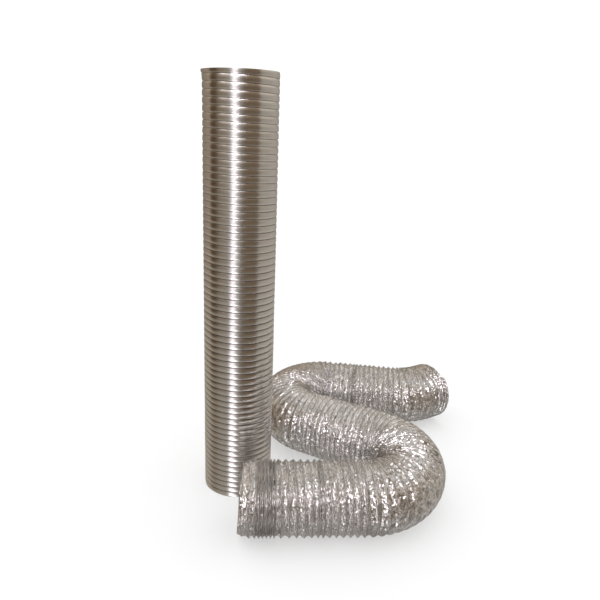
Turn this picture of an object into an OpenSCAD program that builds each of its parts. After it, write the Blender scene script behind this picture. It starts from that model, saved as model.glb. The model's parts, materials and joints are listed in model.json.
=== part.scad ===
// Two flexible air ducts of one nominal size, in millimetres.
// A semi-rigid duct of corrugated aluminium strip stands upright: the riser.
// A wire-wound foil duct lies beside it in an S: front run, right bend, middle run,
// left bend, rear run and a short rear bend.
// +Z is up and the origin is the centre of the riser's foot. The front run lies along +X.
// The foil duct is divided into rigid lengths that hinge at the outer wall of each bend, so
// that a bend opens without its pieces meeting, and that slide apart along the straight runs.

/* [Bore] */
// Radius of the clear bore of both ducts
bore_r = 50.8; // [45:0.1:60]

/* [Riser] */
// Turns of strip from the foot to the head
riser_turns = 64; // [50:1:70]
// Height of one turn of the corrugated strip
riser_pitch = 9.6; // [8:0.1:10]
// Sheet thickness of the strip
strip_t = 0.4; // [0.3:0.1:0.6]
// Depth of one corrugation, groove to crest
corrugation_depth = 0.8; // [0.5:0.1:1.5]
// Turns in each plain-bored end collar
collar_turns = 3; // [2:1:4]
// Turns in the wall that can be pushed together
lower_turns = 29; // [20:1:30]
// Turns in the wall that can be bent
middle_turns = 18; // [14:1:18]

/* [Foil duct] */
// Thickness of each foil ply
ply_t = 0.4; // [0.3:0.1:0.6]
// Diameter of the spring wire between the plies
wire_d = 1; // [0.8:0.1:1.6]
// Clearance on each side of the wire
wire_clear = 0.05; // [0.02:0.01:0.1]
// Distance from one turn of wire to the next
wire_pitch = 9; // [7:0.5:14]
// Length of the front run
front_len = 176; // [160:1:200]
// Length of the middle run
middle_len = 127; // [110:1:160]
// Length of the rear run
rear_len = 118; // [100:1:160]
// Length of the straight stub behind the rear bend
stub_len = 30; // [26:1:60]
// Length of the open front end that slides off the front run
front_end_len = 46; // [30:1:60]

/* [Bends] */
// Centre-line radius of the right bend
right_r = 82; // [76:1:100]
// Angle of one rigid length of the right bend
right_step = 24.5; // [20:0.5:25]
// Centre-line radius of the left bend
left_r = 77; // [72:1:100]
// Angle of one rigid length of the left bend
left_step = 26.5; // [20:0.5:27]
// Hinges in each of the two large bends
bend_hinges = 6; // [4:1:6]
// Centre-line radius of the rear bend
flare_r = 73; // [70:1:100]
// Angle of one rigid length of the rear bend
flare_step = 21; // [15:0.5:24]

/* [Layout] */
// Front opening's place along X
front_x = 4; // [0:1:20]
// Distance of the front run in front of the riser's axis
front_y = 131; // [125:1:160]

/* [Hidden] */
seam = 0.3;              // gap where two rigid lengths meet on a straight
seam_angle = 0.3;        // angle trimmed from each face where they meet in a bend
butt = 0.02;             // hairline between a straight and the bent length it runs into
flare_hinges = 2;
wall_fn = 96;
wire_fn = 72;
section_fn = 24;

groove_r = bore_r + strip_t;
crest_r = groove_r + corrugation_depth;

inner_ply_r = bore_r + ply_t;
wire_r = inner_ply_r + wire_clear + wire_d / 2;
outer_ply_r = wire_r + wire_d / 2 + wire_clear;
duct_r = outer_ply_r + ply_t;

foil_color = "#a9a49c";
lining_color = "#bdbab4";
wire_color = "#6f6a64";
strip_color = "#b3ada4";

// Unit vectors along a heading and square to it on the left.
function along(h) = [cos(h), sin(h), 0];
function leftward(h) = [-sin(h), cos(h), 0];

// A straight is ["straight", start, heading, length].
// A bend is ["bend", centre, radius, side, entry heading, first turn, last turn]; side is 1
// where it turns left and -1 where it turns right, and turns are counted from its entry.
function bend_centre(p, h, r, side) = p + side * r * leftward(h);
function bend_exit(c, r, side, h, turn) = c - side * r * leftward(h + side * turn);
function arc(b, first, last) = ["bend", b[0], b[1], b[2], b[3], first, last];
function straight(start, h, first, last) = ["straight", start + first * along(h), h, last - first];

// Lengths of a bend between its hinges, each trimmed clear of the next.
function links(name, b, step, hinges) = [
    for (i = [1:hinges - 1])
        [hinges > 2 ? str(name, "_", i) : name,
         [arc(b, (i - 0.5) * step + seam_angle, (i + 0.5) * step - seam_angle)]]
];

front_start = [front_x, -front_y, duct_r];
right_entry = front_start + front_len * along(0);
right_turn = bend_hinges * right_step;
right_bend = [bend_centre(right_entry, 0, right_r, 1), right_r, 1, 0];

middle_heading = right_turn;
middle_start = bend_exit(right_bend[0], right_r, 1, 0, right_turn);
left_entry = middle_start + middle_len * along(middle_heading);
left_turn = bend_hinges * left_step;
left_bend = [bend_centre(left_entry, middle_heading, left_r, -1), left_r, -1, middle_heading];

rear_heading = middle_heading - left_turn;
rear_start = bend_exit(left_bend[0], left_r, -1, middle_heading, left_turn);
flare_entry = rear_start + rear_len * along(rear_heading);
flare_turn = flare_hinges * flare_step;
flare_bend = [bend_centre(flare_entry, rear_heading, flare_r, 1), flare_r, 1, rear_heading];

stub_heading = rear_heading + flare_turn;
stub_start = bend_exit(flare_bend[0], flare_r, 1, rear_heading, flare_turn);

// The rigid lengths of the foil duct, front to rear, each with the pieces of its centre line.
DUCT = concat(
    [
        ["front_end", [straight(front_start, 0, 0, front_end_len)]],
        ["front_run", [
            straight(front_start, 0, front_end_len + seam, front_len - butt),
            arc(right_bend, 0, right_step / 2 - seam_angle)]]
    ],
    links("right_bend", right_bend, right_step, bend_hinges),
    [
        ["middle_run", [
            arc(right_bend, right_turn - right_step / 2 + seam_angle, right_turn),
            straight(middle_start, middle_heading, butt, middle_len - butt),
            arc(left_bend, 0, left_step / 2 - seam_angle)]]
    ],
    links("left_bend", left_bend, left_step, bend_hinges),
    [
        ["rear_run", [
            arc(left_bend, left_turn - left_step / 2 + seam_angle, left_turn),
            straight(rear_start, rear_heading, butt, rear_len / 2)]],
        ["rear_reach", [
            straight(rear_start, rear_heading, rear_len / 2 + seam, rear_len - butt),
            arc(flare_bend, 0, flare_step / 2 - seam_angle)]]
    ],
    links("rear_bend", flare_bend, flare_step, flare_hinges),
    [
        ["rear_end", [
            arc(flare_bend, flare_turn - flare_step / 2 + seam_angle, flare_turn),
            straight(stub_start, stub_heading, butt, stub_len)]]
    ]
);

RISER = ["riser_foot_collar", "riser_lower_wall", "riser_middle_wall", "riser_upper_wall",
         "riser_head_collar"];

// Outline of the corrugated strip's outside, groove to groove, over a number of turns.
function ripple(z0, turns, groove) = concat(
    [[groove, z0]],
    [for (i = [0:turns - 1], q = [[0.1, 0], [0.24, 1], [0.76, 1], [0.9, 0]])
        [groove + q[1] * corrugation_depth, z0 + (i + q[0]) * riser_pitch]],
    [[groove, z0 + turns * riser_pitch]]
);
function backward(list) = [for (i = [len(list) - 1:-1:0]) list[i]];

module strip_wall(first_turn, turns) {
    z0 = first_turn * riser_pitch;
    color(strip_color)
        rotate_extrude($fn = wall_fn)
            polygon(concat(ripple(z0, turns, groove_r), backward(ripple(z0, turns, bore_r))));
}

module strip_collar(first_turn, turns) {
    z0 = first_turn * riser_pitch;
    color(strip_color)
        rotate_extrude($fn = wall_fn)
            polygon(concat(ripple(z0, turns, groove_r),
                           [[bore_r, z0 + turns * riser_pitch], [bore_r, z0]]));
}

module riser_foot_collar() { strip_collar(0, collar_turns); }

module riser_lower_wall() { strip_wall(collar_turns, lower_turns); }

module riser_middle_wall() { strip_wall(collar_turns + lower_turns, middle_turns); }

module riser_upper_wall() {
    first_turn = collar_turns + lower_turns + middle_turns;
    strip_wall(first_turn, riser_turns - collar_turns - first_turn);
}

module riser_head_collar() { strip_collar(riser_turns - collar_turns, collar_turns); }

// One straight or bent length of tube between two radii.
module tube(piece, inside, outside) {
    if (piece[0] == "straight")
        translate(piece[1])
            rotate([0, 90, piece[2]])
                rotate_extrude($fn = wall_fn)
                    translate([inside, 0])
                        square([outside - inside, piece[3]]);
    else
        translate(piece[1])
            rotate_extrude(angle = piece[6] - piece[5], $fn = 4 * wall_fn,
                           start = piece[3] > 0 ? piece[4] + piece[5] - 90
                                                : piece[4] - piece[6] + 90)
                translate([piece[2], 0])
                    difference() {
                        circle(r = outside, $fn = wall_fn);
                        circle(r = inside, $fn = wall_fn);
                    }
}

module wire_ring(p, heading) {
    translate(p)
        rotate([0, 90, heading])
            rotate_extrude($fn = wire_fn)
                translate([wire_r, 0])
                    circle(d = wire_d, $fn = section_fn);
}

// Turns of wire spread evenly along one length of the duct.
module turns_of_wire(piece) {
    straight = piece[0] == "straight";
    run = straight ? piece[3] : piece[2] * (piece[6] - piece[5]) * PI / 180;
    count = max(1, round(run / wire_pitch));
    for (i = [0:count - 1]) {
        share = (i + 0.5) / count;
        if (straight)
            wire_ring(piece[1] + share * run * along(piece[2]), piece[2]);
        else {
            turn = piece[5] + share * (piece[6] - piece[5]);
            wire_ring(bend_exit(piece[1], piece[2], piece[3], piece[4], turn),
                      piece[4] + piece[3] * turn);
        }
    }
}

module inner_ply(path) {
    color(lining_color)
        for (piece = path)
            tube(piece, bore_r, inner_ply_r);
}

module wire_turns(path) {
    color(wire_color)
        for (piece = path)
            turns_of_wire(piece);
}

module outer_ply(path) {
    color(foil_color)
        for (piece = path)
            tube(piece, outer_ply_r, duct_r);
}

riser_foot_collar();
riser_lower_wall();
riser_middle_wall();
riser_upper_wall();
riser_head_collar();
for (d = DUCT) {
    inner_ply(d[1]);
    wire_turns(d[1]);
    outer_ply(d[1]);
}
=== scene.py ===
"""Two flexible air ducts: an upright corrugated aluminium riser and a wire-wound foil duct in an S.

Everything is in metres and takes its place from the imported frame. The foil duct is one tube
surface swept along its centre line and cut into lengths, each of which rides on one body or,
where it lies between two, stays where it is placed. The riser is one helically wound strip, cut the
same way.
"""
import json
import math

import bpy
import numpy as np
from mathutils import Matrix, Quaternion, Vector


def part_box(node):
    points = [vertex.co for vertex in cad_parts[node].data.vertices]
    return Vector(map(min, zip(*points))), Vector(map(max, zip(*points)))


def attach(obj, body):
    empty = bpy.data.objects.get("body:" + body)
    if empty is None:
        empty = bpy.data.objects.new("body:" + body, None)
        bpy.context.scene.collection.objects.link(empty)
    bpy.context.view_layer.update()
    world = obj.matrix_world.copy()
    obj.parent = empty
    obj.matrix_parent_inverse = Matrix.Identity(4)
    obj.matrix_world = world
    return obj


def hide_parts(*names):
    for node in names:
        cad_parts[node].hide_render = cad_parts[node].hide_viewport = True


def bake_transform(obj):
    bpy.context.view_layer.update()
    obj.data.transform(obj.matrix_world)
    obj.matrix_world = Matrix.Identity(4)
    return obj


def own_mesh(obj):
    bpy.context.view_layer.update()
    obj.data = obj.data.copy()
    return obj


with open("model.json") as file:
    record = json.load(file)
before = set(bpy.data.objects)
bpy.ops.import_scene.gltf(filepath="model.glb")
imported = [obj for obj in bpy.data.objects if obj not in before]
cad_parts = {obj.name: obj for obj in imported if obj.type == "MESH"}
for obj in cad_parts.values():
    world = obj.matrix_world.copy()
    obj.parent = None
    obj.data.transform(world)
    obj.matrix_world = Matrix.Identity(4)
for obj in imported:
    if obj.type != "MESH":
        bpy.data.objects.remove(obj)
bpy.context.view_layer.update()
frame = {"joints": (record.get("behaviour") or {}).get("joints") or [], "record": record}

MM = 0.001
TAU = 2 * math.pi

record = frame["record"]
joints = {j["name"]: j for j in frame["joints"]}
mounts = {m["name"]: m for m in record["mounts"]}


# ---------------------------------------------------------------- the camera

# Place in metres; angles in degrees.
CAMERA_AT = (0.0273, -0.8594, 0.5548)
CAMERA_YAW = -4.12
CAMERA_PITCH = -16.46
CAMERA_ROLL = 2.15
CAMERA_FIELD = 52.53


def add_camera():
    data = bpy.data.cameras.new("camera")
    data.sensor_fit = "HORIZONTAL"
    data.angle = math.radians(CAMERA_FIELD)
    camera = bpy.data.objects.new("camera", data)
    bpy.context.scene.collection.objects.link(camera)
    turn = (
        Matrix.Rotation(math.radians(CAMERA_YAW), 4, "Z")
        @ Matrix.Rotation(math.radians(90 + CAMERA_PITCH), 4, "X")
        @ Matrix.Rotation(math.radians(CAMERA_ROLL), 4, "Z")
    )
    camera.matrix_world = Matrix.Translation(CAMERA_AT) @ turn
    bpy.context.scene.camera = camera


add_camera()


# ---------------------------------------------------------------- the foil duct's centre line

low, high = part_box("front_end_outer_ply")
DUCT_R = (high[2] - low[2]) / 2
AXIS_Z = (high[2] + low[2]) / 2

# The hinges of a bend lie this far outside the duct's outer wall.
HINGE_CLEAR = 0.3 * MM


def leftward(heading):
    """Unit vector of the floor plane, square to a heading on its left."""
    return np.array([-math.sin(heading), math.cos(heading)])


def circle_through(a, b, c):
    """Centre and radius of the circle through three points of the floor plane."""
    sides = 2 * np.array([b - a, c - a])
    squares = np.array([b @ b - a @ a, c @ c - a @ a])
    centre = np.linalg.solve(sides, squares)
    return centre, np.linalg.norm(a - centre)


def circle_on_chord(a, b, angle, side):
    """Centre and radius of the circle on which two points stand an angle apart."""
    chord = np.linalg.norm(b - a)
    radius = chord / 2 / math.sin(angle / 2)
    across = (b - a) / chord
    inward = side * np.array([-across[1], across[0]])
    return (a + b) / 2 + inward * radius * math.cos(angle / 2), radius


def hinge_points(prefix):
    """Places on the floor plane of a bend's hinges, leader first, and the angle of each."""
    names = [prefix] + [c["joint"] for c in record["behaviour"]["couplings"] if c["follows"] == prefix]
    places = [np.array(joints[n]["pos_m"][:2]) for n in names]
    return places, math.radians(max(joints[prefix]["range_deg"]))


class Bend:
    """One bend of the centre line; side is 1 where it turns left and -1 where it turns right."""

    def __init__(self, prefix, start, heading, side, reverse=False):
        places, self.step = hinge_points(prefix)
        if reverse:
            places = places[::-1]
        self.count = len(places)
        if self.count > 2:
            self.centre, rim = circle_through(places[0], places[2], places[-1])
        else:
            self.centre, rim = circle_on_chord(places[0], places[1], self.step, side)
        self.radius = rim - DUCT_R - HINGE_CLEAR
        self.side = side
        self.turn = self.count * self.step
        self.heading = heading
        self.start = self.place_at(heading)
        self.straight_before = np.linalg.norm(self.start - start)
        self.end_heading = heading + side * self.turn
        self.end = self.place_at(self.end_heading)

    def place_at(self, heading):
        """Where the centre line has a heading."""
        return self.centre - self.side * self.radius * leftward(heading)


def build_route():
    front = np.array(mounts["front_bore"]["pos_m"][:2])
    right = Bend("right_bend", front, 0.0, 1, reverse=True)
    left = Bend("left_bend", right.end, right.end_heading, -1)
    rear = Bend("rear_bend", left.end, left.end_heading, 1)
    stub = np.linalg.norm(np.array(mounts["rear_bore"]["pos_m"][:2]) - rear.end)
    return front, [right, left, rear], stub


FRONT, BENDS, STUB = build_route()
RIGHT, LEFT, REAR = BENDS


def route_table():
    """Stretches of the centre line: first station, start, heading and curvature; and its length.

    A station is a distance along the centre line from the front rim. Each bend is told its own
    first and last ones.
    """
    rows = []
    at, place, heading = 0.0, FRONT, 0.0
    for bend in BENDS:
        rows.append((at, place, heading, 0.0))
        at += bend.straight_before
        bend.station = at
        rows.append((at, bend.start, bend.heading, bend.side / bend.radius))
        at += bend.radius * bend.turn
        bend.last = at
        place, heading = bend.end, bend.end_heading
    rows.append((at, place, heading, 0.0))
    return rows, at + STUB


ROUTE, DUCT_LEN = route_table()


def centre_line(s):
    """Place, heading and curvature of the centre line at stations s."""
    s = np.asarray(s, float)
    x, y, h, k = (np.zeros_like(s) for _ in range(4))
    for i, (at, place, heading, curve) in enumerate(ROUTE):
        end = ROUTE[i + 1][0] if i + 1 < len(ROUTE) else np.inf
        first = -np.inf if i == 0 else at
        here = (s >= first) & (s < end)
        d = s[here] - at
        if curve == 0:
            x[here] = place[0] + d * math.cos(heading)
            y[here] = place[1] + d * math.sin(heading)
            h[here] = heading
        else:
            x[here] = place[0] + (np.sin(heading + curve * d) - math.sin(heading)) / curve
            y[here] = place[1] - (np.cos(heading + curve * d) - math.cos(heading)) / curve
            h[here] = heading + curve * d
        k[here] = curve
    return x, y, h, k


def bend_near(s):
    """Curvature of the centre line, evened out over a few turns of wire."""
    return sum(centre_line(s + step * MM)[3] for step in (-20, -10, 0, 10, 20)) / 5


def sweep(s, angle, radius):
    """Points at stations s, angles round the tube and radii, all of one shape."""
    x, y, h, _ = centre_line(s)
    across = radius * np.cos(angle)
    return np.stack(
        [x - np.sin(h) * across, y + np.cos(h) * across, AXIS_Z + radius * np.sin(angle)], -1
    )


# ---------------------------------------------------------------- crumpled foil and plain meshes

# Side of the tables of random numbers, which repeat past their edges.
TABLE = 256
# The grid of facets strays by a slow ripple: its wave in cells, and how far it moves the grid.
RIPPLE_WAVE = 3
RIPPLE_HEIGHT = 0.34
RIPPLE_REACH = 3.2


def rise(value, start, span):
    """0 up to a start, then evenly up to 1 over a span."""
    return np.clip((value - start) / span, 0, 1)


def ripple(table, p, q):
    """A table of random numbers read smoothly between its entries."""
    fp, fq = p - np.floor(p), q - np.floor(q)
    wp, wq = fp * fp * (3 - 2 * fp), fq * fq * (3 - 2 * fq)
    i0, j0 = np.floor(p).astype(int) % TABLE, np.floor(q).astype(int) % TABLE
    i1, j1 = (i0 + 1) % TABLE, (j0 + 1) % TABLE
    near = table[i0, j0] * (1 - wp) + table[i1, j0] * wp
    far = table[i0, j1] * (1 - wp) + table[i1, j1] * wp
    return near * (1 - wq) + far * wq


def facets(u, v, cell, seed):
    """Height between -1 and 1 of a sheet folded into flat facets of about one cell.

    Each cell of the grid is two triangles, which meet on one diagonal or on the other.
    """
    rng = np.random.default_rng(seed)
    heights = rng.uniform(-1, 1, (TABLE, TABLE))
    shift = rng.uniform(-RIPPLE_HEIGHT, RIPPLE_HEIGHT, (2, TABLE, TABLE))
    p, q = u / cell, v / cell
    # Bending the grid keeps its lines from showing.
    stray = [RIPPLE_REACH * ripple(table, p / RIPPLE_WAVE, q / RIPPLE_WAVE) for table in shift]
    p, q = p + stray[0], q + stray[1]
    i, j = np.floor(p).astype(int), np.floor(q).astype(int)
    fp, fq = p - i, q - j
    flip = heights[(i * 7 + 3) % TABLE, (j * 5 + 1) % TABLE] > 0
    a = heights[i % TABLE, j % TABLE]
    b = heights[(i + 1) % TABLE, j % TABLE]
    c = heights[i % TABLE, (j + 1) % TABLE]
    d = heights[(i + 1) % TABLE, (j + 1) % TABLE]
    one = np.where(fp > fq, a + fp * (b - a) + fq * (d - b), a + fq * (c - a) + fp * (d - c))
    rest = 1 - fp
    two = np.where(rest > fq, b + rest * (a - b) + fq * (c - a), b + fq * (d - b) + rest * (c - d))
    return np.where(flip, one, two)


def grid_faces(rows, columns):
    """Quads between the rows and columns of a tube's points."""
    here = np.arange(rows * columns).reshape(rows, columns)
    beside = np.roll(here, -1, axis=1)
    return np.stack([here[:-1], beside[:-1], beside[1:], here[1:]], -1).reshape(-1, 4)


def make_mesh(name, points, faces, lay=None, shade=None):
    """A smooth mesh; lay is its surface unrolled straight and shade how much painted shade darkens it.
    """
    mesh = bpy.data.meshes.new(name)
    mesh.vertices.add(points.size // 3)
    mesh.vertices.foreach_set("co", points.reshape(-1).astype(np.float32))
    mesh.loops.add(faces.size)
    mesh.loops.foreach_set("vertex_index", faces.reshape(-1).astype(np.int32))
    mesh.polygons.add(len(faces))
    mesh.polygons.foreach_set("loop_start", np.arange(0, faces.size, faces.shape[1], dtype=np.int32))
    mesh.polygons.foreach_set("use_smooth", np.ones(len(faces), bool))
    if lay is not None:
        straight = mesh.attributes.new("lay", "FLOAT_VECTOR", "POINT")
        straight.data.foreach_set("vector", lay.reshape(-1).astype(np.float32))
    # The shade attribute holds painted shade for the foil's folds and the riser's grooves.
    if shade is not None:
        folded = mesh.attributes.new("shade", "FLOAT", "POINT")
        folded.data.foreach_set("value", shade.reshape(-1).astype(np.float32))
    mesh.update()
    mesh.validate()
    piece = bpy.data.objects.new(name, mesh)
    bpy.context.scene.collection.objects.link(piece)
    return piece


# ---------------------------------------------------------------- the foil duct's wire and foil

WIRE_D = 1.0 * MM
# Sides of the wire's section, and steps in one turn of its helix.
WIRE_SIDES = 8
WIRE_STEPS = 72
# The wire's ends stay this far inside the front and rear rims.
WIRE_INSIDE = (3 * MM, 5 * MM)

# The foil's crests lie just inside the CAD's outer wall, and the wire just inside the jacket.
CREST_R = DUCT_R - 0.25 * MM
WIRE_GAP = 0.1 * MM
# Points round the foil, and the distance between its rows of points along the duct.
AROUND = 360
ROW = 0.75 * MM
LINING_ROW = 1.4 * ROW

# Near the front rim the upper side is drawn back, which fades out along the duct.
SLANT = 7 * MM
SLANT_FADE = 80 * MM
# Over the last stretch to a rim the valleys are shallower, and the front rim is drawn in.
RIM = 20 * MM
TUCK = 5.5 * MM
# Least and most that the foil sags between two turns of wire.
SAG = (1.0 * MM, 4.5 * MM)
# Height of the crumples, in millimetres. The coarse ones' share of it where the foil is slack,
# what is added where it is taut, and the fine ones' share.
CRUMPLE = 0.66
COARSE_SLACK = 0.78
COARSE_TAUT = 0.4
FINE_SHARE = 0.6
# Folds of the foil: how much closer they lie along the duct than round it, their size and seed.
UNEVEN = (1.6, 17 * MM, 7)
WANDER = (1.4, 11 * MM, 13)
COARSE = (1.5, 4.6 * MM, 3)
FINE = (1.4, 2.4 * MM, 5)
# The rear end's step: the angles between which it is cut shorter, and by how much.
NOTCH = (math.radians(52), math.radians(131), 4.0 * MM)
# Most that the rear end's ragged cut falls short, in millimetres, and the points round it.
RAGGED = 0.9
RAGGED_POINTS = 61
# The lining's distance inside the jacket between two turns of wire, and what the wire adds to
# it, both in millimetres, and how far along the duct the wire lifts the lining off.
BONDED = 0.2
LIFTED = 1.15
LIFT_REACH = 1.6 * MM


def foil_length(s):
    """Length of foil from one turn of wire to the next: slacker on the front run."""
    return np.interp(s / MM, [150, 190], [15.8, 14.0]) * MM


def pitch_at(s):
    """Distance to the next turn of wire: bunched behind the front rim, and at two folds.

    The stops are stations and distances in millimetres.
    """
    fold = (LEFT.last + 40 * MM) / MM
    end = DUCT_LEN / MM
    front_run = [(0, 9.5), (18, 9.0), (21, 4.9), (47, 5.2), (52, 11.8), (85, 10.6)]
    front_fold = [(104, 9.8), (107, 6.0), (113, 6.0), (117, 9.9), (160, 9.4)]
    onward = [(RIGHT.station / MM + 60, 9.0)]
    rear_fold = [(fold - 4, 8.9), (fold - 2, 5.0), (fold + 3, 5.0), (fold + 5, 8.9)]
    rear_rim = [(end - 16, 8.9), (end - 12, 5.5), (end, 5.0)]
    places, widths = zip(*(front_run + front_fold + onward + rear_fold + rear_rim))
    return np.interp(s / MM, places, widths) * MM


def wire_stations():
    """Stations of the turns of wire, each at a slightly uneven distance, past both rims."""
    rng = np.random.default_rng(8)
    stations = [-40 * MM, -30 * MM, -20 * MM, -10 * MM, 0.0]
    while stations[-1] < DUCT_LEN + 40 * MM:
        stations.append(stations[-1] + pitch_at(stations[-1]) * rng.uniform(0.93, 1.07))
    return np.array(stations)


STATIONS = wire_stations()
# Turns of wire are counted from the front rim.
TURNS = np.arange(len(STATIONS)) - 4.0


def wire_phase(s, angle):
    """Turns of wire from the front rim to a place on the duct."""
    return np.interp(s, STATIONS, TURNS) - angle / TAU


def local_pitch(s, angle, curve):
    """Distance to the next turn of wire on one side of the duct, shorter inside a bend.

    The left-hand side of the duct is at angle 0, so a left turn shortens it.
    """
    return pitch_at(s) * (1 - curve * DUCT_R * np.cos(angle))


def front_slant(s, angle):
    """How far the upper side is drawn back near the front rim."""
    fade = np.clip(1 - s / SLANT_FADE, 0, 1)
    return SLANT * (0.5 + 0.5 * np.sin(angle)) ** 2 * fade


def rim_tuck(s):
    """How far the front rim is drawn in."""
    return np.clip(1 - s / RIM, 0, 1) ** 1.6 * TUCK


def foil_facets(s, angle, folds):
    """Height between -1 and 1 of one kind of fold in the foil."""
    closer, cell, seed = folds
    return facets(angle * DUCT_R, s * closer, cell, seed)


def jacket_radius(s, angle, curve):
    """Outside radius of the foil duct: crests over the wire, sagging valleys, and crumples."""
    phase = wire_phase(s, angle)
    part = phase - np.floor(phase)
    local = local_pitch(s, angle, curve)
    slack = np.clip(foil_length(s) / np.maximum(local, 1 * MM) - 1, 0.0, 3.0)
    uneven = 1 + 0.35 * foil_facets(s, angle, UNEVEN)
    # A shallow arc that is a share k longer than its chord sags by sqrt(3 k / 8) of the chord.
    sag = np.clip(local * np.sqrt(3 / 8 * slack) * uneven, *SAG)
    sag = sag * (0.3 + 0.7 * rise(np.minimum(s, DUCT_LEN - s), 0, RIM))
    # Each valley wanders between its two wires.
    part = part + 0.8 * part * (1 - part) * foil_facets(s, angle, WANDER)
    between = np.abs(np.sin(math.pi * part))
    room = np.clip(between * 2.2, 0, 1)
    stretched = rise(local, 9 * MM, 6 * MM)
    crumple = (COARSE_SLACK + COARSE_TAUT * stretched) * foil_facets(s, angle, COARSE)
    crumple = crumple + FINE_SHARE * foil_facets(s, angle, FINE)
    return CREST_R - sag * between ** 0.9 + crumple * room * CRUMPLE * MM - rim_tuck(s)


def painted_fold_shade(s, angle, curve, radius):
    """How much painted shade darkens a valley of the jacket: most where turns are bunched, and where
    it is taut.
    """
    drop = CREST_R - rim_tuck(s) - radius
    deep = rise(drop, 0.8 * MM, 2.4 * MM)
    bunched = np.clip((7.5 * MM - pitch_at(s)) / (4 * MM), 0.06, 0.42)
    shallow = rise(drop, 0.4 * MM, 0.9 * MM)
    taut = rise(local_pitch(s, angle, curve), 10 * MM, 5 * MM)
    return np.maximum(deep * bunched, 0.5 * shallow * taut)


def ply_gap(s, angle):
    """How far the lining lies inside the jacket: round the wire at a crest, bonded between."""
    off = np.abs((wire_phase(s, angle) + 0.5) % 1 - 0.5) * pitch_at(s)
    return (BONDED + LIFTED * np.clip(1 - off / LIFT_REACH, 0, 1)) * MM


def end_station(angle):
    """Where the foil ends at the rear: a ragged cut, with a short step on its upper side."""
    rng = np.random.default_rng(21)
    short = rng.uniform(0, RAGGED, RAGGED_POINTS)
    ragged = np.interp(angle, np.linspace(0, TAU, RAGGED_POINTS), short) * MM
    first, last, depth = NOTCH
    return DUCT_LEN - ragged - np.where((angle > first) & (angle < last), depth, 0.0)


def foil_grid(first, last, row):
    """Stations and angles of the points of one length of foil, row by row."""
    rows = max(3, int(math.ceil((last - first) / row)) + 1)
    angle = np.linspace(0, TAU, AROUND, endpoint=False)[None, :] * np.ones((rows, 1))
    share = np.linspace(0, 1, rows)[:, None] * np.ones(AROUND)
    ends = end_station(angle) if last >= DUCT_LEN else last
    starts = front_slant(0.0, angle) if first <= 0 else first
    return starts + share * (ends - starts), angle


def unrolled(s, angle):
    """Points of the foil duct laid out straight, which its materials are drawn on."""
    return np.stack([DUCT_R * np.cos(angle), DUCT_R * np.sin(angle), s], -1)


def make_jacket(name, first, last):
    s, angle = foil_grid(first, last, ROW)
    curve = bend_near(s)
    laid = s - front_slant(s, angle)
    radius = jacket_radius(laid, angle, curve)
    # Painted shade in the jacket's valleys.
    shade = painted_fold_shade(laid, angle, curve, radius)
    return make_mesh(name, sweep(s, angle, radius), grid_faces(*s.shape), unrolled(s, angle), shade)


def make_lining(name, first, last):
    s, angle = foil_grid(first, last, LINING_ROW)
    laid = s - front_slant(s, angle)
    radius = jacket_radius(laid, angle, bend_near(s)) - ply_gap(laid, angle)
    points = sweep(s, angle, radius)
    # Its points run the other way round, so that it faces the bore.
    return make_mesh(name, points[:, ::-1], grid_faces(*s.shape), unrolled(s, angle)[:, ::-1])


def make_wire(name, first, last):
    """The helix of wire between two stations; it climbs with the angle, as the crests do."""
    first = max(first, WIRE_INSIDE[0])
    last = min(last, DUCT_LEN - WIRE_INSIDE[1])
    from_turn, to_turn = np.interp([first, last], STATIONS, TURNS)
    turns = np.linspace(from_turn, to_turn, max(8, int((to_turn - from_turn) * WIRE_STEPS)))
    s = np.interp(turns, TURNS, STATIONS)
    around = np.linspace(0, TAU, WIRE_SIDES, endpoint=False)
    angle = (turns * TAU)[:, None] * np.ones(WIRE_SIDES)
    along = s[:, None] + front_slant(s[:, None], angle) + WIRE_D / 2 * np.sin(around)[None, :]
    middle = CREST_R - rim_tuck(s)[:, None] - WIRE_GAP - WIRE_D / 2
    radius = middle + WIRE_D / 2 * np.cos(around)[None, :] * np.ones((len(s), 1))
    return make_mesh(name, sweep(along, angle, radius), grid_faces(*along.shape))


# ---------------------------------------------------------------- nodes

def new_material(name):
    material = bpy.data.materials.new(name)
    material.use_nodes = True
    tree = material.node_tree
    tree.nodes.clear()
    out = tree.nodes.new("ShaderNodeOutputMaterial")
    shader = tree.nodes.new("ShaderNodeBsdfPrincipled")
    tree.links.new(shader.outputs["BSDF"], out.inputs["Surface"])
    return material, tree, shader


def feed(tree, target, value):
    """Links a socket to another one, or sets it to plain numbers."""
    if isinstance(value, bpy.types.NodeSocket):
        tree.links.new(value, target)
    else:
        target.default_value = value


def attribute(tree, name, output):
    node = tree.nodes.new("ShaderNodeAttribute")
    node.attribute_name = name
    return node.outputs[output]


def stretched_space(tree, space, scale):
    node = tree.nodes.new("ShaderNodeMapping")
    node.inputs["Scale"].default_value = scale
    tree.links.new(space, node.inputs["Vector"])
    return node.outputs["Vector"]


def noise(tree, scale, detail, space):
    node = tree.nodes.new("ShaderNodeTexNoise")
    node.inputs["Scale"].default_value = scale
    node.inputs["Detail"].default_value = detail
    tree.links.new(space, node.inputs["Vector"])
    return node.outputs["Fac"]


def math_node(tree, operation, one, two):
    node = tree.nodes.new("ShaderNodeMath")
    node.operation = operation
    feed(tree, node.inputs[0], one)
    feed(tree, node.inputs[1], two)
    return node.outputs["Value"]


def vector_math(tree, operation, one, two):
    node = tree.nodes.new("ShaderNodeVectorMath")
    node.operation = operation
    feed(tree, node.inputs[0], one)
    feed(tree, node.inputs[1], two)
    return node.outputs["Value" if operation == "DOT_PRODUCT" else "Vector"]


def spread(tree, value, low, high):
    """A value from 0 to 1 spread from low to high."""
    node = tree.nodes.new("ShaderNodeMapRange")
    node.inputs["To Min"].default_value = low
    node.inputs["To Max"].default_value = high
    tree.links.new(value, node.inputs["Value"])
    return node.outputs["Result"]


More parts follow.
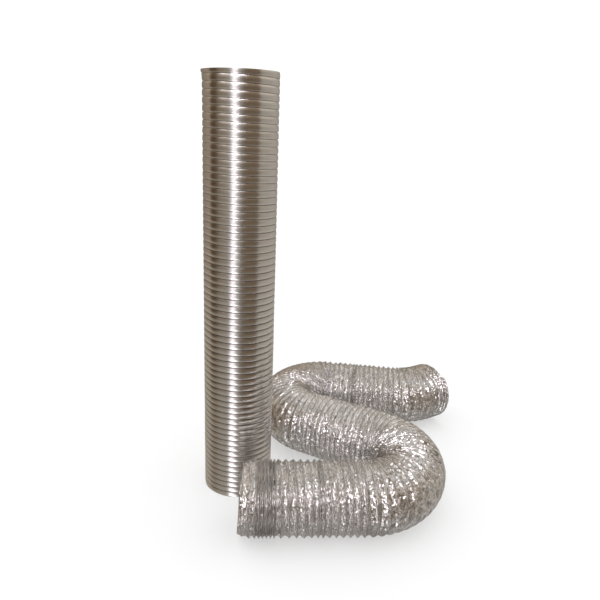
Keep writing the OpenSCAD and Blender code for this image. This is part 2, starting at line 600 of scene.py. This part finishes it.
def smooth_step(tree, value, start, end):
    """0 up to a start, then smoothly up to 1 at an end, which may lie below the start."""
    node = tree.nodes.new("ShaderNodeMapRange")
    node.interpolation_type = "SMOOTHSTEP"
    node.inputs["From Min"].default_value = start
    node.inputs["From Max"].default_value = end
    tree.links.new(value, node.inputs["Value"])
    return node.outputs["Result"]


def ramp(tree, value, *stops):
    node = tree.nodes.new("ShaderNodeValToRGB")
    elements = node.color_ramp.elements
    while len(elements) > 1:
        elements.remove(elements[-1])
    elements[0].position, elements[0].color = stops[0][0], (*stops[0][1], 1)
    for place, colour in stops[1:]:
        elements.new(place).color = (*colour, 1)
    tree.links.new(value, node.inputs["Fac"])
    return node.outputs["Color"]


def mix_colour(tree, factor, one, two, blend="MIX"):
    """A mix of two colours, each given as a socket or as three numbers."""
    node = tree.nodes.new("ShaderNodeMix")
    node.data_type = "RGBA"
    node.blend_type = blend
    sockets = {socket.name: socket for socket in node.inputs if socket.enabled}
    tree.links.new(factor, sockets["Factor"])
    for name, colour in (("A", one), ("B", two)):
        feed(tree, sockets[name], (*colour, 1) if isinstance(colour, tuple) else colour)
    return [socket for socket in node.outputs if socket.enabled][0]


def add_bump(tree, shader, height, strength, distance):
    bump = tree.nodes.new("ShaderNodeBump")
    bump.inputs["Strength"].default_value = strength
    bump.inputs["Distance"].default_value = distance
    tree.links.new(height, bump.inputs["Height"])
    tree.links.new(bump.outputs["Normal"], shader.inputs["Normal"])


def flat_facets(tree, space, scale, closer, slope):
    """Height in metres of a sheet broken into flat facets, each tilted its own way."""
    laid = stretched_space(tree, space, (1, 1, closer))
    cells = tree.nodes.new("ShaderNodeTexVoronoi")
    cells.inputs["Scale"].default_value = scale
    tree.links.new(laid, cells.inputs["Vector"])
    away = vector_math(tree, "SUBTRACT", laid, cells.outputs["Position"])
    tilt = vector_math(tree, "SUBTRACT", cells.outputs["Color"], (0.5, 0.5, 0.5))
    return math_node(tree, "MULTIPLY", vector_math(tree, "DOT_PRODUCT", away, tilt), slope)


# ---------------------------------------------------------------- materials

# Painted shade in the foil's valleys, where turns are bunched or the foil is taut.
FOIL_FOLD_SHADE = (0.18, 0.15, 0.12)
STRIP_DARK = (0.66, 0.64, 0.61)
STRIP_LIGHT = (0.82, 0.80, 0.77)
# Painted shade in the strip's grooves, standing in for the shadow between lapped turns.
STRIP_GROOVE_SHADE = (0.19, 0.16, 0.135)
WIRE_DARK = (0.30, 0.29, 0.27)
WIRE_LIGHT = (0.46, 0.44, 0.41)


def foil_material(name, dark, light, rough_low, rough_high):
    """Foil in small flat facets, with painted shade in its folds, and dulled in patches."""
    material, tree, shader = new_material(name)
    space = attribute(tree, "lay", "Vector")
    foil = ramp(tree, noise(tree, 60, 4, space), (0.3, dark), (0.7, light))
    # Painted shade mixed into the foil in its valleys.
    shaded = mix_colour(tree, attribute(tree, "shade", "Fac"), foil, FOIL_FOLD_SHADE)
    tree.links.new(shaded, shader.inputs["Base Color"])
    shader.inputs["Metallic"].default_value = 1.0
    roughness = spread(tree, noise(tree, 140, 3, space), rough_low, rough_high)
    tree.links.new(roughness, shader.inputs["Roughness"])
    coarse = flat_facets(tree, space, 260, 2.1, 0.46)
    fine = flat_facets(tree, space, 620, 1.8, 0.28)
    add_bump(tree, shader, math_node(tree, "ADD", coarse, fine), 1.0, 1.0)
    return material


def strip_material():
    """Rolled strip with fine lines along it and painted shade in its grooves."""
    material, tree, shader = new_material("strip_aluminium")
    space = tree.nodes.new("ShaderNodeTexCoord").outputs["Object"]
    lines = noise(tree, 1, 3, stretched_space(tree, space, (40, 40, 2600)))
    metal = ramp(tree, lines, (0.25, STRIP_DARK), (0.75, STRIP_LIGHT))
    # Painted shade mixed into the strip in its grooves.
    shaded = mix_colour(tree, attribute(tree, "shade", "Fac"), metal, STRIP_GROOVE_SHADE)
    tree.links.new(shaded, shader.inputs["Base Color"])
    shader.inputs["Metallic"].default_value = 1.0
    tree.links.new(spread(tree, lines, 0.16, 0.26), shader.inputs["Roughness"])
    add_bump(tree, shader, lines, 0.12, 0.0002)
    return material


def wire_material():
    material, tree, shader = new_material("spring_wire_steel")
    space = tree.nodes.new("ShaderNodeTexCoord").outputs["Object"]
    steel = ramp(tree, noise(tree, 300, 3, space), (0.3, WIRE_DARK), (0.7, WIRE_LIGHT))
    tree.links.new(steel, shader.inputs["Base Color"])
    shader.inputs["Metallic"].default_value = 1.0
    shader.inputs["Roughness"].default_value = 0.35
    return material


JACKET = foil_material("foil_jacket", (0.75, 0.735, 0.715), (0.90, 0.892, 0.877), 0.12, 0.22)
LINING = foil_material("foil_lining", (0.60, 0.57, 0.53), (0.78, 0.76, 0.73), 0.22, 0.40)
STRIP = strip_material()
WIRE = wire_material()


# ---------------------------------------------------------------- the foil duct's lengths

# A cut between two lengths stands this far, or half as far, off the blend or bend beside it.
EDGE = 8 * MM
# Share of the inner wall's length that a length takes to bend over a hinge.
BEND_SHARE = 0.98


def hinge_blend(bend, k):
    """Where a length blends over hinge k: as wide as its inner wall, square to the hinge plane."""
    x, y, h, _ = centre_line(np.array([bend.station + bend.radius * bend.step * (k - 0.5)]))
    reach = BEND_SHARE * (bend.radius - DUCT_R) * math.sin(bend.step / 2)
    here = np.array([x[0], y[0], AXIS_Z])
    way = np.array([math.cos(h[0]), math.sin(h[0]), 0.0])
    return here - reach * way, here + reach * way


def slide_blend(first, last):
    """The places on the centre line between which a length is drawn out."""
    ends = []
    for s in (first, last):
        x, y, _, _ = centre_line(np.array([s]))
        ends.append(np.array([x[0], y[0], AXIS_Z]))
    return ends


def bent_lengths(bend, entry, links, leave, first, last):
    """The lengths that blend over each hinge of a bend, between two stations.

    The bend's bodies are the one it is entered from, its links, and the one it leaves to.
    """
    held_by = [entry, *links, leave]
    cuts = [bend.station + bend.radius * bend.step * k for k in range(1, bend.count)]
    cuts = [first, *cuts, last]
    return [
        (cuts[k], cuts[k + 1], held_by[k : k + 2], hinge_blend(bend, k + 1))
        for k in range(bend.count)
    ]


def duct_lengths():
    """Each length of the foil duct: its stations, its body or two, and where it blends."""
    right_links = [f"right_bend_{i}" for i in range(1, RIGHT.count)]
    left_links = [f"left_bend_{i}" for i in range(1, LEFT.count)]
    front_slide = (20 * MM, RIGHT.station - 14 * MM)
    rear_slide = (LEFT.last + EDGE, REAR.station - EDGE)
    end_cut = front_slide[0] - EDGE
    right_cut = front_slide[1] + EDGE / 2
    middle = (RIGHT.last + EDGE, LEFT.station - EDGE)
    left_cut = rear_slide[0] - EDGE / 2
    reach_cut = rear_slide[1] + EDGE / 2
    rear_cut = REAR.last + EDGE
    return [
        (0.0, end_cut, ["front_end"], None),
        (end_cut, right_cut, ["front_end", "front_run"], slide_blend(*front_slide)),
        *bent_lengths(RIGHT, "front_run", right_links, "middle_run", right_cut, middle[0]),
        (*middle, ["middle_run"], None),
        *bent_lengths(LEFT, "middle_run", left_links, "rear_run", middle[1], left_cut),
        (left_cut, reach_cut, ["rear_run", "rear_reach"], slide_blend(*rear_slide)),
        *bent_lengths(REAR, "rear_reach", ["rear_bend"], "rear_end", reach_cut, rear_cut),
        (rear_cut, DUCT_LEN, ["rear_end"], None),
    ]


def hold(piece, material, held_by, blend, part):
    """Gives a piece of the foil duct its material and hides the CAD parts it replaces; a piece held by
    one body is attached to it, one held by two is left in place.
    """
    piece.data.materials.append(material)
    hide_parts(*[f"{body}_{part}" for body in held_by])
    if blend is None:
        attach(piece, held_by[0])
    else:
        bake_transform(piece)


def build_foil_duct():
    plies = [
        ("foil_jacket", make_jacket, JACKET, "outer_ply"),
        ("foil_lining", make_lining, LINING, "inner_ply"),
        ("spring_wire", make_wire, WIRE, "wire"),
    ]
    for number, (first, last, held_by, blend) in enumerate(duct_lengths(), start=1):
        for slot, make, material, part in plies:
            piece = make(f"{slot}_{number:02d}", first, last)
            hold(piece, material, held_by, blend, part)


build_foil_duct()


# ---------------------------------------------------------------- the riser

RISER_R = (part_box("riser_lower_wall")[1][0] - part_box("riser_lower_wall")[0][0]) / 2
RISER_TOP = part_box("riser_head_collar")[1][2]
STRIP_TURNS = 66.6
# Share of a turn by which the helix is turned round the riser.
STRIP_START = 0.35
STRIP_GAUGE = 0.25 * MM
# The crowns lie this far inside the CAD's, which leaves room for the dents.
CROWN_INSET = 0.2 * MM
DENT = 0.14 * MM
DENT_SIZE = 40 * MM
DENT_SEED = 11
# The head's rim is pushed out on one side: how far, its angle, and half its width in radians.
LIP = 1.5 * MM
LIP_AT = math.pi
LIP_WIDE = 0.5
LIP_FADE = 4 * MM
OUTSIDE_COLUMNS = 192
INSIDE_COLUMNS = 96
# Share of a turn over which a groove's painted shade fades, on each side of it.
GROOVE_FADE = 0.09

# One turn of the strip from a groove up to the next: share of the turn, and millimetres inside
# the crown. The band slopes in under the groove above it, and the groove itself is sharp.
STRIP_SHAPE = [
    (0.0, 2.2),
    (0.03, 1.5),
    (0.055, 0.72),
    (0.065, 0.50),
    (0.075, 0.44),
    (0.12, 0.32),
    (0.20, 0.16),
    (0.32, 0.04),
    (0.45, 0.0),
    (0.58, 0.03),
    (0.70, 0.15),
    (0.82, 0.33),
    (0.922, 0.51),
    (0.932, 0.54),
    (0.942, 0.76),
    (0.97, 1.4),
    (1.0, 2.2),
]


def strip_turn(z):
    """Turns of strip below a height: a little closer together near the foot."""
    share = z / RISER_TOP
    return STRIP_TURNS * (1.1 * share - 0.1 * np.maximum(share, 0) ** 1.5)


def strip_height(turn):
    """Height at which the strip reaches a number of turns, the other way round."""
    z = np.linspace(-40 * MM, RISER_TOP + 40 * MM, 8000)
    return np.interp(turn, strip_turn(z), z)


def strip_radius(turn):
    """Outside radius of the strip, which is its shape repeated each turn."""
    shares, drops = zip(*STRIP_SHAPE)
    return RISER_R - CROWN_INSET - np.interp(turn % 1, shares, drops) * MM


def strip_rows(first, last):
    """Turn counts of the rows of a wall's mesh, with more than a turn to spare at each end."""
    whole = np.arange(math.floor(strip_turn(first)) - 1, math.ceil(strip_turn(last)) + 3)
    shares = np.array([share for share, _ in STRIP_SHAPE[:-1]])
    return (whole[:, None] + shares).reshape(-1)


def strip_faces(lowest, highest, rows):
    """Triangles of a wall whose rows fall one turn on their way round.

    Rows below a column's lowest or above its highest are folded into the wall's rims.
    """
    columns = len(lowest)
    row = np.clip(np.arange(rows)[:, None], lowest, highest)
    here = row * columns + np.arange(columns)
    beside = np.roll(here, -1, axis=1)
    fall = len(STRIP_SHAPE) - 1
    beside[:, -1] = here[np.maximum(np.arange(rows) - fall, 0), 0]
    a, b, c, d = here[:-1], beside[:-1], beside[1:], here[1:]
    faces = np.concatenate([np.stack([a, b, c], -1), np.stack([a, c, d], -1)]).reshape(-1, 3)
    first, second, third = faces.T
    return faces[(first != second) & (second != third) & (third != first)]


def painted_groove_shade(turn, z):
    """How much painted shade darkens the riser: most in the grooves, and less towards the head."""
    off = np.minimum(turn % 1, 1 - turn % 1)
    deep = np.clip(1.2 - off / GROOVE_FADE, 0, 1)
    return deep * (1 - 0.8 * rise(z / RISER_TOP, 0.4, 0.45))


def head_lip(angle, z):
    """How far the head's rim is pushed out."""
    side = np.exp(-(((angle - LIP_AT) / LIP_WIDE) ** 2))
    return LIP * side * np.clip((z - RISER_TOP) / LIP_FADE + 2, 0, 1)


def make_riser_wall(name, first, last, inward):
    """The outside or inside surface of the riser between two heights."""
    columns = INSIDE_COLUMNS if inward else OUTSIDE_COLUMNS
    angle = np.linspace(0, TAU, columns, endpoint=False)
    rows = strip_rows(first, last)
    z = strip_height(rows[:, None] - angle / TAU - STRIP_START)
    lowest = (z <= first).sum(axis=0) - 1
    highest = len(rows) - (z >= last).sum(axis=0)
    z = np.clip(z, first, last)
    turn = strip_turn(z) + angle / TAU + STRIP_START
    dents = DENT * facets(angle * RISER_R + 0 * z, z, DENT_SIZE, DENT_SEED)
    radius = strip_radius(turn) + dents + head_lip(angle, z) - (STRIP_GAUGE if inward else 0)
    points = np.stack([radius * np.cos(angle), radius * np.sin(angle), z], -1).reshape(-1, 3)
    # Painted shade in the grooves.
    shade = painted_groove_shade(turn, z).reshape(-1)
    used, faces = np.unique(strip_faces(lowest, highest, len(rows)), return_inverse=True)
    faces = faces.reshape(-1, 3)
    if inward:
        faces = faces[:, ::-1]
    return make_mesh(name, points[used], faces, shade=shade[used])


def build_riser():
    foot_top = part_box("riser_foot_collar")[1][2]
    low_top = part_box("riser_lower_wall")[1][2]
    mid_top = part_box("riser_middle_wall")[1][2]
    walls = [
        ("foot", 0.0, foot_top, "riser_foot", ["riser_foot_collar"]),
        ("lower", foot_top, low_top, "riser_foot", ["riser_lower_wall"]),
        ("middle", low_top, mid_top, None, ["riser_middle_wall"]),
        ("head", mid_top, RISER_TOP, "riser_head", ["riser_upper_wall", "riser_head_collar"]),
    ]
    for label, first, last, body, nodes in walls:
        for side in ("outside", "inside"):
            piece = make_riser_wall(f"riser_{label}_{side}", first, last, side == "inside")
            piece.data.materials.append(STRIP)
            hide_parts(*nodes)
            if body is None:
                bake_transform(piece)
                continue
            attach(piece, body)
            if label == "lower":
                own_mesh(piece)


build_riser()


# ---------------------------------------------------------------- the floor

FLOOR_REACH = 20.0
# The paper is part grey and part glowing, so that shadows on it are faint.
PAPER_GREY = (0.52, 0.52, 0.52, 1)
PAPER_GLOW = 0.46


def path_flag(tree, which):
    return tree.nodes.new("ShaderNodeLightPath").outputs[which]


def add_floor():
    mesh = bpy.data.meshes.new("floor")
    corners = [(-1, -1), (1, -1), (1, 1), (-1, 1)]
    mesh.from_pydata([(x * FLOOR_REACH, y * FLOOR_REACH, 0) for x, y in corners], [], [(0, 1, 2, 3)])
    floor = bpy.data.objects.new("floor", mesh)
    bpy.context.scene.collection.objects.link(floor)
    material, tree, shader = new_material("floor_paper")
    shader.inputs["Base Color"].default_value = PAPER_GREY
    shader.inputs["Emission Color"].default_value = (1, 1, 1, 1)
    shader.inputs["Emission Strength"].default_value = PAPER_GLOW
    shader.inputs["Roughness"].default_value = 0.9
    shader.inputs["Specular IOR Level"].default_value = 0.0
    # Reflections look past the paper into the room below, which the world holds.
    clear = tree.nodes.new("ShaderNodeBsdfTransparent")
    either = tree.nodes.new("ShaderNodeMixShader")
    out = [n for n in tree.nodes if n.type == "OUTPUT_MATERIAL"][0]
    tree.links.new(path_flag(tree, "Is Glossy Ray"), either.inputs[0])
    tree.links.new(shader.outputs["BSDF"], either.inputs[1])
    tree.links.new(clear.outputs["BSDF"], either.inputs[2])
    tree.links.new(either.outputs["Shader"], out.inputs["Surface"])
    mesh.materials.append(material)


# ---------------------------------------------------------------- the world

# What the camera and soft light see all round.
STUDIO_WHITE = (1.12, 1.12, 1.12)

# Colours that the room shows to the metal, by bearing in degrees from the camera's side,
# anticlockwise seen from above, as the studio's walls, gaps and sheets lie round the ducts.
ROOM = [
    (-180, (0.31, 0.275, 0.235)),
    (-150, (0.24, 0.205, 0.165)),
    (-104, (0.36, 0.285, 0.21)),
    (-96, (0.08, 0.048, 0.027)),
    (-78, (0.08, 0.048, 0.027)),
    (-66, (0.22, 0.175, 0.125)),
    (-34, (0.27, 0.235, 0.195)),
    (-24, (0.50, 0.49, 0.47)),
    (-8, (0.50, 0.49, 0.47)),
    (6, (0.20, 0.165, 0.135)),
    (14, (0.15, 0.105, 0.065)),
    (58, (0.145, 0.10, 0.065)),
    (64, (0.36, 0.32, 0.275)),
    (120, (0.46, 0.42, 0.37)),
    (180, (0.31, 0.275, 0.235)),
]
# The same round the floor, where it glows in front of the walls.
FLOOR_GLOW = [
    (-180, (0.42, 0.39, 0.35)),
    (-104, (0.43, 0.385, 0.32)),
    (-96, (0.28, 0.23, 0.17)),
    (-78, (0.28, 0.23, 0.17)),
    (-66, (0.36, 0.32, 0.265)),
    (-34, (0.37, 0.34, 0.295)),
    (-24, (0.50, 0.49, 0.47)),
    (-8, (0.50, 0.49, 0.47)),
    (2, (0.18, 0.155, 0.13)),
    (12, (0.15, 0.12, 0.09)),
    (26, (0.20, 0.165, 0.125)),
    (58, (0.215, 0.175, 0.135)),
    (64, (0.46, 0.43, 0.385)),
    (120, (0.50, 0.465, 0.42)),
    (180, (0.42, 0.39, 0.35)),
]
CEILING = (0.655, 0.645, 0.625)
BELOW = (0.365, 0.35, 0.335)
# The upper part of the walls is this much brighter.
UPPER_WALLS = (1.85, 1.85, 1.85)
# The ceiling is centred a little off the vertical.
CEILING_WAY = (0.20, 0.20, 0.96)
# Degrees above the horizon between which the walls brighten and the ceiling starts, and between
# which the floor's glow and the dark below start.
WALL_RISE = (7, 22)
CEILING_RISE = (40, 62)
GLOW_RISE = (-9, -21)
BELOW_RISE = (-30, -60)

# Soft sheets of light: bearing, rise and half width in degrees, and colour.
SHEETS = [
    (-50, 42, 24, (0.5, 0.49, 0.5)),
    (-12, 43, 28, (0.55, 0.54, 0.54)),
    (-56, 34, 13, (2.0, 1.93, 2.15)),
    (-16, 34, 12, (5.4, 5.1, 5.9)),
    (-13, 26, 9, (3.0, 2.85, 3.2)),
    (8, 38, 13, (4.4, 4.2, 4.75)),
    (146, 30, 12, (1.2, 1.15, 1.2)),
    (122, 58, 26, (0.25, 0.25, 0.25)),
    (-17, -34, 13, (1.7, 1.62, 1.78)),
    (-17, -50, 14, (1.5, 1.45, 1.5)),
]
# A sheet is full over this share of its half width.
SHEET_CORE = 0.35


def rise_step(tree, value, degrees):
    """Smoothly from 0 to 1 as the sine of a rise goes from one angle to another."""
    start, end = (math.sin(math.radians(angle)) for angle in degrees)
    return smooth_step(tree, value, start, end)


def sheet_of_light(tree, look, room, bearing, rise_deg, wide, colour):
    """Adds a soft round sheet of light to the room, faded out towards its rim."""
    turn, lift, half = (math.radians(angle) for angle in (bearing, rise_deg, wide))
    way = (math.sin(turn) * math.cos(lift), -math.cos(turn) * math.cos(lift), math.sin(lift))
    facing = vector_math(tree, "DOT_PRODUCT", look, way)
    near = smooth_step(tree, facing, math.cos(half), math.cos(half * SHEET_CORE))
    return mix_colour(tree, near, room, colour, blend="ADD")


def room_colour(tree, look):
    """The studio's walls, floor, ceiling and sheets of light, by the way a ray goes."""
    split = tree.nodes.new("ShaderNodeSeparateXYZ")
    tree.links.new(look, split.inputs["Vector"])
    up = split.outputs["Z"]
    backward = math_node(tree, "MULTIPLY", split.outputs["Y"], -1.0)
    bearing = math_node(tree, "ARCTAN2", split.outputs["X"], backward)
    share = math_node(tree, "ADD", math_node(tree, "DIVIDE", bearing, TAU), 0.5)
    walls = ramp(tree, share, *[((degrees + 180) / 360, colour) for degrees, colour in ROOM])
    glow = ramp(tree, share, *[((degrees + 180) / 360, colour) for degrees, colour in FLOOR_GLOW])
    upper_walls = vector_math(tree, "MULTIPLY", walls, UPPER_WALLS)
    overhead = vector_math(tree, "DOT_PRODUCT", look, CEILING_WAY)
    room = mix_colour(tree, rise_step(tree, up, GLOW_RISE), walls, glow)
    room = mix_colour(tree, rise_step(tree, up, WALL_RISE), room, upper_walls)
    room = mix_colour(tree, rise_step(tree, overhead, CEILING_RISE), room, CEILING)
    room = mix_colour(tree, rise_step(tree, up, BELOW_RISE), room, BELOW)
    for sheet in SHEETS:
        room = sheet_of_light(tree, look, room, *sheet)
    return room


def add_world():
    """Near-white for the camera and for soft light; the room in reflections."""
    world = bpy.data.worlds.new("studio")
    bpy.context.scene.world = world
    world.use_nodes = True
    tree = world.node_tree
    tree.nodes.clear()
    out = tree.nodes.new("ShaderNodeOutputWorld")
    background = tree.nodes.new("ShaderNodeBackground")
    look = tree.nodes.new("ShaderNodeTexCoord").outputs["Generated"]
    seen = mix_colour(tree, path_flag(tree, "Is Glossy Ray"), STUDIO_WHITE, room_colour(tree, look))
    tree.links.new(seen, background.inputs["Color"])
    background.inputs["Strength"].default_value = 1.0
    tree.links.new(background.outputs["Background"], out.inputs["Surface"])


# ---------------------------------------------------------------- the key light

# One long upright light, leaning a few degrees, which makes the riser's white stripe.
KEY_AT = (-0.49, -1.5, 0.1)
KEY_AIM = (0.02, 0, 0.1)
KEY_SIZE = (0.38, 3.0)
KEY_POWER = 3.8
KEY_COLOUR = (1.0, 0.93, 1.05)
KEY_LEAN = -6


def add_key_light():
    data = bpy.data.lights.new("key", "AREA")
    data.shape = "RECTANGLE"
    data.size, data.size_y = KEY_SIZE
    data.energy = KEY_POWER
    data.color = KEY_COLOUR
    light = bpy.data.objects.new("key", data)
    bpy.context.scene.collection.objects.link(light)
    light.location = KEY_AT
    upright = (Vector(KEY_AIM) - Vector(KEY_AT)).to_track_quat("-Z", "Y")
    lean = Quaternion((0, 0, 1), math.radians(KEY_LEAN))
    light.rotation_euler = (upright @ lean).to_euler()
    light.visible_camera = False


add_floor()
add_world()
add_key_light()
bpy.context.scene.view_settings.view_transform = "Standard"
